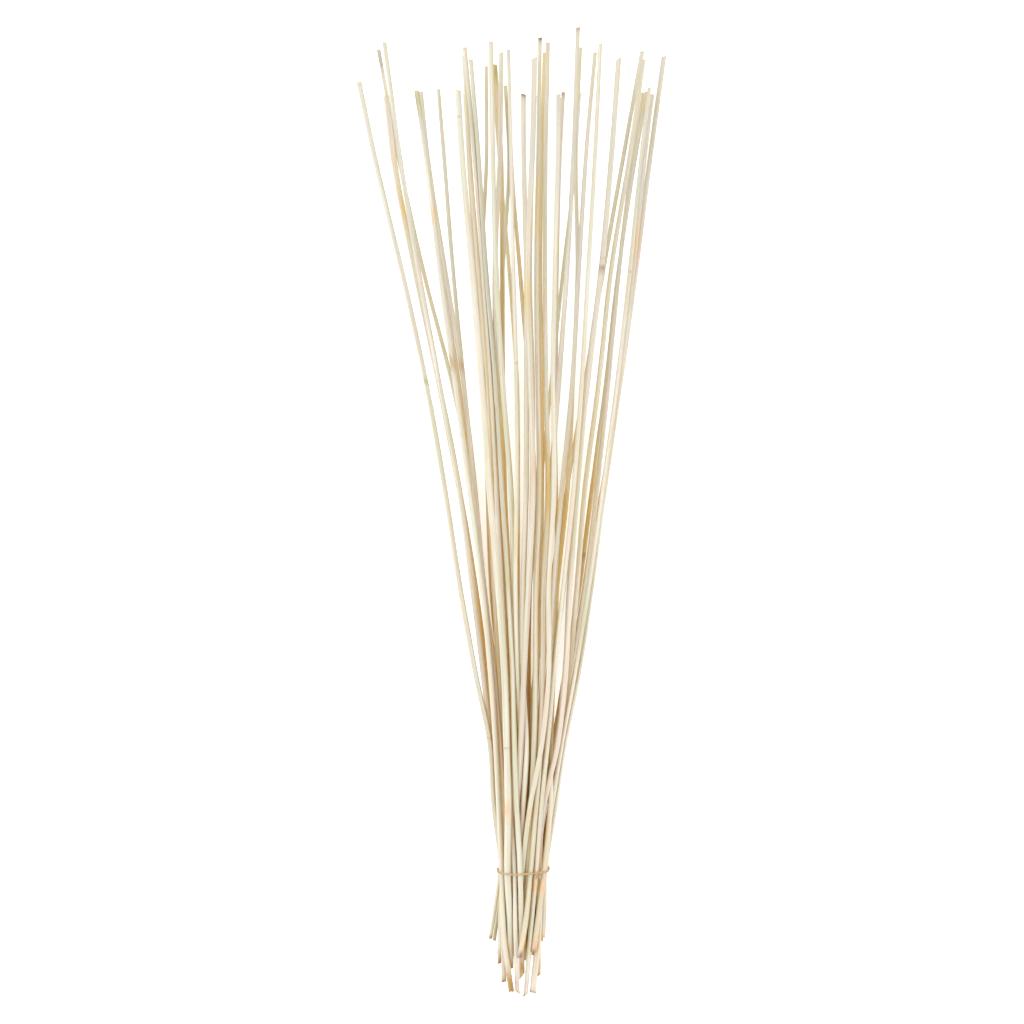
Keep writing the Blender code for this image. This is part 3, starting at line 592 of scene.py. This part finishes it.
def build_reed(name, number, lines, slopes, slot):
    """One stem in fine mesh, with its colours and the coordinates of its grain."""
    rng = np.random.default_rng(SEED + number)
    knots = lines[name]
    start, stop = knots[0, 0], knots[-1, 0]
    scars = leaf_scars(rng, name, knots)
    ring_y = ring_places(start, stop, scars)
    x, z, radius = (smooth_curve(knots[:, 0], knots[:, column], ring_y) for column in (1, 2, 3))
    theta = np.arange(SIDES) * 2 * math.pi / SIDES

    # The section's shape.
    turn = rng.uniform(0, 2 * math.pi) + rng.uniform(-TWIST, TWIST) * (ring_y - start)
    turned = theta[None, :] - turn[:, None]
    reach, edge = flat_sides(rng, theta, turn)
    ribs = RIB_SHARE * along_noise(rng, ring_y, SIDES, RIB_STEP)
    thick = THICKNESS_SHARE * along_noise(rng, ring_y, 1, THICKNESS_STEP)
    nearest = np.abs(ring_y[:, None] - np.array(scars))
    scar_off = nearest.min(axis=1)
    plain = np.where(nearest.argmin(axis=1) < len(SCARS.get(name, ())), 1, FAINT_SCAR)[:, None]
    scar_rise = SCAR_RISE * plain * np.exp(-((scar_off / SCAR_HALF) ** 2))[:, None]
    out = radius[:, None] * FULLNESS * (reach + OVAL_SHARE * np.cos(2 * turned) + ribs + thick + scar_rise)
    out = np.minimum(out, radius[:, None] + TOUCH)
    z = np.maximum(z, radius + TOUCH)

    # The cut ends lean as the solid's do, a butt may be cut askew, and both are ragged. The next ring stays
    # clear of each.
    lean = np.zeros((len(ring_y), 2))
    slant = BUTT_SLANTS.get(name, 0)
    for end, slope in ((start, slopes[0] + (slant, 0)), (stop, slopes[1])):
        lean += np.clip(1 - np.abs(ring_y - end) / END_REACH, 0, 1)[:, None] * slope
    cut_back = abs(slant) * radius * np.clip(1 - (ring_y - start) / END_REACH, 0, 1)
    off_x = out * np.cos(theta)
    off_z = out * np.sin(theta)
    y = (ring_y + cut_back)[:, None] + lean[:, :1] * off_x + lean[:, 1:] * off_z
    ragged = np.abs(along_noise(rng, np.array([0.0, 1.0]), SIDES, 1.0)) * RAGGED
    y[0] += ragged[0]
    y[-1] -= ragged[1]
    y[1] = np.maximum(y[1], y[0] + RIM_DEPTH)
    y[-2] = np.minimum(y[-2], y[-1] - RIM_DEPTH)
    body = np.stack([x[:, None] + off_x, y, z[:, None] + off_z], -1)
    body[..., 0] = np.clip(body[..., 0], CAD_BOX[0][0], CAD_BOX[1][0])

    butt_rings, butt_middle = cut_face(body[0], x[0], z[0], 1)
    tip_rings, tip_middle = cut_face(body[-1], x[-1], z[-1], -1)
    rings = np.concatenate([butt_rings, body, tip_rings[::-1]])
    count, caps = len(rings), len(CAP_RINGS)
    points = np.concatenate([rings.reshape(-1, 3), [butt_middle, tip_middle]])
    faces = tube_faces(count, SIDES, count * SIDES, count * SIDES + 1)

    sky = sky_share(lines, name, ring_y, x, z, radius, theta)
    tint = stem_tint(rng, name, number, slot, knots, ring_y, theta, edge, sky, scar_off, plain)
    pith = np.array(PITH) * rng.uniform(*PITH_SHADES)
    cap_tint = np.broadcast_to(pith, (caps, SIDES, 3))
    tint = np.concatenate([cap_tint, tint, cap_tint]).reshape(-1, 3)
    tint = np.concatenate([tint, [pith * PITH_MIDDLE] * 2])

    # Grain: coordinates that run round and along the stem.
    along = np.broadcast_to(ring_y[:, None], out.shape)
    grain = np.stack([GRAIN_RADIUS * np.cos(turned), GRAIN_RADIUS * np.sin(turned), along], -1)
    grain = np.concatenate([grain[:1]] * caps + [grain] + [grain[-1:]] * caps).reshape(-1, 3)
    grain = np.concatenate([grain, grain[:1], grain[-1:]]) + rng.uniform(-GRAIN_SHIFT, GRAIN_SHIFT, 3)
    cut = np.zeros((count, SIDES))
    cut[:caps] = cut[-caps:] = 1

    layers = {
        "tint": ("FLOAT_COLOR", np.concatenate([tint, np.ones((len(tint), 1))], axis=1)),
        "grain": ("FLOAT_VECTOR", grain),
        "cut": ("FLOAT", np.append(cut.ravel(), [1, 1])),
    }
    piece = new_mesh_object(name.replace("reed", "stem"), points, faces, layers)
    piece.data.set_sharp_from_angle(angle=SHARP_ANGLE)
    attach(piece, "root")
    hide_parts(name)
    return piece


def add_node(tree, kind, **values):
    """A shader node with these inputs, by name, each a value or the socket that feeds it."""
    node = tree.nodes.new(kind)
    for key, value in values.items():
        if hasattr(node, key):
            setattr(node, key, value)
            continue
        socket = node.inputs[int(key[1:]) if key[0] == "i" and key[1:].isdigit() else key.replace("_", " ")]
        if isinstance(value, bpy.types.NodeSocket):
            tree.links.new(value, socket)
        else:
            socket.default_value = value
    return node


def new_material(name):
    """(material, its node tree, its shader)."""
    made = bpy.data.materials.new(name)
    made.use_nodes = True
    return made, made.node_tree, made.node_tree.nodes["Principled BSDF"]


def reed_material():
    """Peeled stem: fine fibres along it, specks, a soft waxy gloss, and coarse pith on the cuts."""
    made, tree, shader = new_material("peeled_reed")
    tint = add_node(tree, "ShaderNodeAttribute", attribute_name="tint").outputs["Color"]
    grain = add_node(tree, "ShaderNodeAttribute", attribute_name="grain").outputs["Vector"]
    cut = add_node(tree, "ShaderNodeAttribute", attribute_name="cut").outputs["Fac"]

    def noise(scale, detail, roughness):
        stretched = add_node(tree, "ShaderNodeMapping", Vector=grain, Scale=scale).outputs[0]
        return add_node(
            tree, "ShaderNodeTexNoise", Vector=stretched, Scale=1.0, Detail=detail, Roughness=roughness
        ).outputs[0]

    def ranged(value, low, high, to_low, to_high):
        return add_node(
            tree,
            "ShaderNodeMapRange",
            Value=value,
            From_Min=low,
            From_Max=high,
            To_Min=to_low,
            To_Max=to_high,
        ).outputs[0]

    def mix(share, first, second, blend="MIX"):
        node = add_node(tree, "ShaderNodeMix", data_type="RGBA", blend_type=blend)
        for socket, value in ((node.inputs[0], share), (node.inputs[6], first), (node.inputs[7], second)):
            if isinstance(value, bpy.types.NodeSocket):
                tree.links.new(value, socket)
            else:
                socket.default_value = value
        return node.outputs[2]

    kinds = (FIBRES, BANDS, BLOTCHES, SPECKS, PORES)
    fibres, bands, blotches, specks, pores = (noise(*kind) for kind in kinds)
    fine = mix(ranged(fibres, 0.38, 0.68, 0.0, 0.5), tint, (0.93, 0.86, 0.72, 1), "MULTIPLY")
    banded = mix(ranged(bands, 0.52, 0.74, 0.0, 0.55), fine, (0.94, 0.86, 0.70, 1), "MULTIPLY")
    pale = mix(ranged(bands, 0.48, 0.30, 0.0, 0.35), banded, (0.86, 0.83, 0.73, 1))
    blotched = mix(ranged(blotches, 0.58, 0.75, 0.0, 0.3), pale, (0.95, 0.86, 0.72, 1), "MULTIPLY")
    specked = mix(ranged(specks, 0.70, 0.80, 0.0, 0.55), blotched, (0.45, 0.30, 0.15, 1))
    pith = mix(ranged(pores, 0.40, 0.60, 0.0, 0.8), tint, (0.35, 0.22, 0.10, 1), "MULTIPLY")
    colour = mix(cut, specked, pith)
    tree.links.new(colour, shader.inputs["Base Color"])
    gloss = ranged(fibres, 0.3, 0.7, 0.42, 0.62)
    coarse = ranged(cut, 0, 1, 0, 0.3)
    rough = add_node(tree, "ShaderNodeMath", operation="ADD", i0=gloss, i1=coarse).outputs[0]
    tree.links.new(rough, shader.inputs["Roughness"])
    shader.inputs["Specular IOR Level"].default_value = 0.35
    shader.inputs["Subsurface Weight"].default_value = 0.35
    shader.inputs["Subsurface Radius"].default_value = (1.0, 0.55, 0.2)
    shader.inputs["Subsurface Scale"].default_value = 0.004
    relief = add_node(
        tree, "ShaderNodeMath", operation="MULTIPLY_ADD", i0=fibres, i1=0.6, i2=bands
    ).outputs[0]
    bump = add_node(tree, "ShaderNodeBump", Height=relief, Strength=0.35, Distance=0.0004).outputs[0]
    tree.links.new(bump, shader.inputs["Normal"])
    return made


def cord_material():
    """Thin twisted cord: pale and dark fibres along each strand."""
    made, tree, shader = new_material("twisted_cord")
    grain = add_node(tree, "ShaderNodeAttribute", attribute_name="grain").outputs["Vector"]
    stretched = add_node(tree, "ShaderNodeMapping", Vector=grain, Scale=(5200, 5200, 420)).outputs[0]
    fibres = add_node(
        tree, "ShaderNodeTexNoise", Vector=stretched, Scale=1.0, Detail=4.0, Roughness=0.65
    ).outputs[0]
    ramp = add_node(tree, "ShaderNodeValToRGB", Fac=fibres)
    stops = ramp.color_ramp.elements
    stops[0].position, stops[0].color = 0.28, (0.24, 0.13, 0.05, 1)
    stops[1].position, stops[1].color = 0.74, (0.78, 0.60, 0.35, 1)
    middle = stops.new(0.5)
    middle.color = (*CORD_COLOUR, 1)
    tree.links.new(ramp.outputs["Color"], shader.inputs["Base Color"])
    rough = add_node(
        tree, "ShaderNodeMapRange", Value=fibres, From_Min=0.3, From_Max=0.7, To_Min=0.6, To_Max=0.85
    ).outputs[0]
    tree.links.new(rough, shader.inputs["Roughness"])
    bump = add_node(tree, "ShaderNodeBump", Height=fibres, Strength=0.7, Distance=0.0003).outputs[0]
    tree.links.new(bump, shader.inputs["Normal"])
    return made


def hull(points):
    """The convex outline of points in a plane, anticlockwise."""
    ordered = sorted(map(tuple, points))

    def chain(items):
        line = []
        for x, y in items:
            while len(line) > 1:
                (ax, ay), (bx, by) = line[-2:]
                if (bx - ax) * (y - ay) - (by - ay) * (x - ax) > 0:
                    break
                line.pop()
            line.append((x, y))
        return line[:-1]

    return np.array(chain(ordered) + chain(ordered[::-1]))


def lengths_along(path):
    """How far along a path each of its points is."""
    return np.concatenate([[0], np.cumsum(np.linalg.norm(np.diff(path, axis=0), axis=1))])


def band_loop(lines, tie_y):
    """Points of the cord's middle round the bunch, and the way out at each."""
    circles = []
    angles = np.linspace(0, 2 * math.pi, OUTLINE_STEPS, endpoint=False)
    for knots in lines.values():
        if knots[0, 0] < tie_y < knots[-1, 0]:
            x, z, radius = (np.interp(tie_y, knots[:, 0], knots[:, column]) for column in (1, 2, 3))
            reach = radius + BAND_STAND_OFF + BAND_DEPTH / 2
            circles.append(np.stack([x + reach * np.cos(angles), z + reach * np.sin(angles)], -1))
    outline = hull(np.concatenate(circles))
    closed = np.vstack([outline, outline[:1]])
    run = lengths_along(closed)
    steps = np.linspace(0, run[-1], int(run[-1] / CORD_STEP), endpoint=False)
    route = np.stack([np.interp(steps, run, closed[:, k]) for k in (0, 1)], -1)
    forward = np.roll(route, -WAY_STEPS, axis=0) - np.roll(route, WAY_STEPS, axis=0)
    out = np.stack([forward[:, 1], -forward[:, 0]], -1)
    out /= np.linalg.norm(out, axis=1, keepdims=True)
    points = np.stack([route[:, 0], tie_y + BAND_SKEW * route[:, 0], route[:, 1]], -1)
    ways = np.stack([out[:, 0], np.zeros(len(out)), out[:, 1]], -1)
    return points, ways


def frames_along(path, closed):
    """Two ways across the path at each of its points, carried along it without turning."""
    ahead = np.roll(path, -1, axis=0) if closed else np.vstack([path[1:], 2 * path[-1] - path[-2]])
    behind = np.roll(path, 1, axis=0) if closed else np.vstack([2 * path[0] - path[1], path[:-1]])
    tangent = ahead - behind
    tangent /= np.linalg.norm(tangent, axis=1, keepdims=True)
    first = np.cross(tangent[0], NEVER_TAKEN)
    first /= np.linalg.norm(first)
    firsts = [first]
    for way in tangent[1:]:
        first = firsts[-1] - way * np.dot(firsts[-1], way)
        firsts.append(first / np.linalg.norm(first))
    firsts = np.array(firsts)
    return firsts, np.cross(tangent, firsts)


def strand(path, radius, closed):
    """(points, faces, grain) of one strand: a tube along the path, its ends rounded if it isn't closed."""
    first, second = frames_along(path, closed)
    angles = np.arange(STRAND_SIDES) * 2 * math.pi / STRAND_SIDES
    size = np.full(len(path), radius)
    if not closed:
        from_end = np.minimum(np.arange(len(path)), np.arange(len(path))[::-1])
        size = radius * np.clip(np.sqrt((from_end + STRAND_END[0]) / STRAND_END[1]), 0, 1)
    around = first[:, None] * np.cos(angles)[:, None] + second[:, None] * np.sin(angles)[:, None]
    rings = path[:, None] + around * size[:, None, None]
    count, sides = len(path), STRAND_SIDES
    places = (radius * np.cos(angles), radius * np.sin(angles), lengths_along(path)[:, None])
    grain = np.stack([np.broadcast_to(place, (count, sides)) for place in places], -1).reshape(-1, 3)
    points = rings.reshape(-1, 3)
    if closed:
        k = np.arange(sides)
        start = np.arange(count)[:, None] * sides
        after = np.roll(start, -1, axis=0)
        step = (k + 1) % sides
        quads = np.stack([start + k, start + step, after + step, after + k], -1).reshape(-1, 4).tolist()
        return points, quads, grain
    faces = [face[::-1] for face in tube_faces(count, sides, count * sides, count * sides + 1)]
    points = np.concatenate([points, path[:1], path[-1:]])
    grain = np.concatenate([grain, grain[:1], grain[-1:]])
    return points, faces, grain


def twisted(path, closed, turns, ways=None):
    """The middles of two strands that wind round each other along a path."""
    if ways is None:
        first, second = frames_along(path, closed)
    else:
        ahead = np.roll(path, -1, axis=0) - np.roll(path, 1, axis=0)
        ahead /= np.linalg.norm(ahead, axis=1, keepdims=True)
        first, second = ways, np.cross(ahead, ways)
    angle = np.linspace(0, 2 * math.pi * turns, len(path), endpoint=not closed)
    spokes = first * np.cos(angle)[:, None] + second * np.sin(angle)[:, None]
    return path + spokes * STRAND_OFFSET, path - spokes * STRAND_OFFSET


def build_cord(lines, tie_y):
    """The tie: two strands twisted round the bunch, an overhand knot and its two cut ends."""
    loop, ways = band_loop(lines, tie_y)
    turns = round(lengths_along(loop)[-1] / STRAND_PITCH)
    tubes = [strand(path, STRAND_RADIUS, True) for path in twisted(loop, True, turns, ways)]

    knot_x = place_to_x(KNOT_PLACE[0], loop[:, 2].max())
    near = int((np.abs(loop[:, 0] - knot_x) + (loop[:, 2] < loop[:, 2].mean())).argmin())
    out = Vector(ways[near])
    across = Vector((0, 1, 0)).cross(out).normalized()
    centre = Vector(loop[near]) + out * KNOT_RISE
    centre.y = level_to_y(KNOT_PLACE[1], centre.z)
    t = np.linspace(0, 2 * math.pi, KNOT_POINTS, endpoint=False)
    # A trefoil is the line of an overhand knot.
    trefoil = np.stack([np.sin(t) + 2 * np.sin(2 * t), np.cos(t) - 2 * np.cos(2 * t), -np.sin(3 * t)], -1)
    axes = np.array([across, (0, 1, 0), out])
    knot = np.array(centre) + (trefoil / (3, 3, 1) * KNOT_SIZE) @ axes
    tubes.append(strand(knot, STRAND_RADIUS * KNOT_STRAND, True))
    for turn in TAIL_TURNS:
        way = np.array([math.sin(math.radians(turn)), -math.cos(math.radians(turn)), 0.0])
        run = np.linspace(TAIL_FROM, 1, TAIL_POINTS)[:, None]
        tail = np.array(centre) + (run * TAIL_LENGTH * way - np.array([0, 0, TAIL_DROP]) * run**2) @ axes
        for path in twisted(tail, False, TAIL_TWIST):
            tubes.append(strand(path, STRAND_RADIUS * TAIL_STRAND, False))

    points, faces, grain, start = [], [], [], 0
    for number, (corners, sides, places) in enumerate(tubes):
        points.append(corners)
        faces += [tuple(start + k for k in side) for side in sides]
        grain.append(places + number * STRAND_SHIFT)
        start += len(corners)
    layers = {"grain": ("FLOAT_VECTOR", np.concatenate(grain))}
    piece = new_mesh_object("twisted_tie", np.concatenate(points), faces, layers)
    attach(piece, "root")
    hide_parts("tie_band")
    return piece


def studio():
    """The floor, the soft lights and the camera."""
    mesh = bpy.data.meshes.new("floor")
    corners = [(x * FLOOR_HALF, y * FLOOR_HALF, 0) for x, y in ((-1, -1), (1, -1), (1, 1), (-1, 1))]
    mesh.from_pydata(corners, [], [(0, 1, 2, 3)])
    paper, _, shader = new_material("pale_paper")
    shader.inputs["Base Color"].default_value = FLOOR_COLOUR
    shader.inputs["Roughness"].default_value = 0.9
    shader.inputs["Specular IOR Level"].default_value = 0.1
    shader.inputs["Emission Color"].default_value = WHITE
    shader.inputs["Emission Strength"].default_value = GLOW
    mesh.materials.append(paper)
    floor = put("floor", mesh)

    world = bpy.data.worlds.new("studio")
    bpy.context.scene.world = world
    world.use_nodes = True
    world.node_tree.nodes["Background"].inputs["Color"].default_value = WHITE
    world.node_tree.nodes["Background"].inputs["Strength"].default_value = 1.0
    for name, place, side, watts in SOFTBOXES:
        light = bpy.data.lights.new(name, "AREA")
        light.size = side
        light.energy = watts
        holder = put(name, light)
        holder.location = place
        holder.rotation_euler = (-Vector(place)).to_track_quat("-Z", "Y").to_euler()

    data = bpy.data.cameras.new("camera")
    data.sensor_width = SENSOR * 1000
    data.lens = SENSOR * 1000 * (EYE[2] - READ_HEIGHT) / (PICTURE_SIDE * PIXEL)
    data.clip_end = FARTHEST_SEEN
    camera = put("camera", data)
    camera.location = EYE
    bpy.context.scene.camera = camera
    bpy.context.scene.view_settings.view_transform = "Standard"


def main():
    """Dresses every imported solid."""
    studio()
    slots = {part["node"]: part["material_slot"] for part in frame["record"]["subparts"]}
    solids = {name: node_solid(name) for name in sorted(slots) if name.startswith("reed_")}
    bends = shared_bends(solids)
    lines, slopes = {}, {}
    for name, (points, corners) in solids.items():
        lines[name], *slopes[name] = reed_line(points, corners, bends)
    surface = reed_material()
    for number, name in enumerate(lines):
        build_reed(name, number, lines, slopes[name], slots[name]).data.materials.append(surface)
    tie_y = bends[np.abs(bends - sum(corner.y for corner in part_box("tie_band")) / 2).argmin()]
    build_cord(lines, tie_y).data.materials.append(cord_material())


main()
